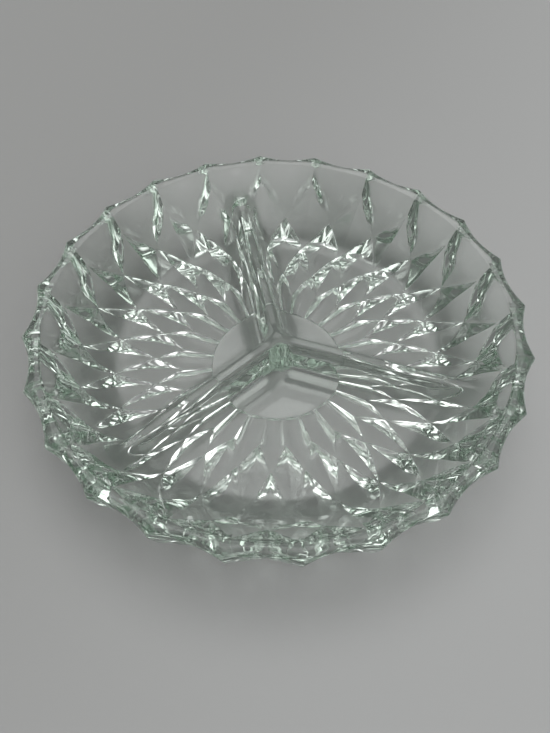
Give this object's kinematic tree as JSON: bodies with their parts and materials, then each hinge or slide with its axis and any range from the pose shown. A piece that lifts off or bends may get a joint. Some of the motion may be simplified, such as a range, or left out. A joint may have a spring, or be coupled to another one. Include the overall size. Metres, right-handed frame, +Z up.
{
  "type": "relish tray",
  "caption": "Round clear glass relish tray whose compartments are parted by low dividers, with hollow diamonds pressed outside and a pointed rim, for serving pickles and condiments.",
  "frame": {"origin": "centre of the standing disc's underside, on the table", "axes": "+Z up, +Y towards the rear divider, +X to the right"},
  "size_m": [0.2478, 0.2478, 0.042],
  "materials": {
    "glass": "clear pressed soda-lime glass, fire-polished, faintly green where it is thick"
  },
  "bodies": {
    "root": {"base_disc": "glass", "floor_left": "glass", "floor_front": "glass", "floor_right": "glass", "wall_left": "glass", "wall_front": "glass", "wall_right": "glass", "rim_left": "glass", "rim_front": "glass", "rim_right": "glass", "divider_rear": "glass", "divider_left": "glass", "divider_right": "glass", "divider_hub": "glass"}
  },
  "joints": []
}
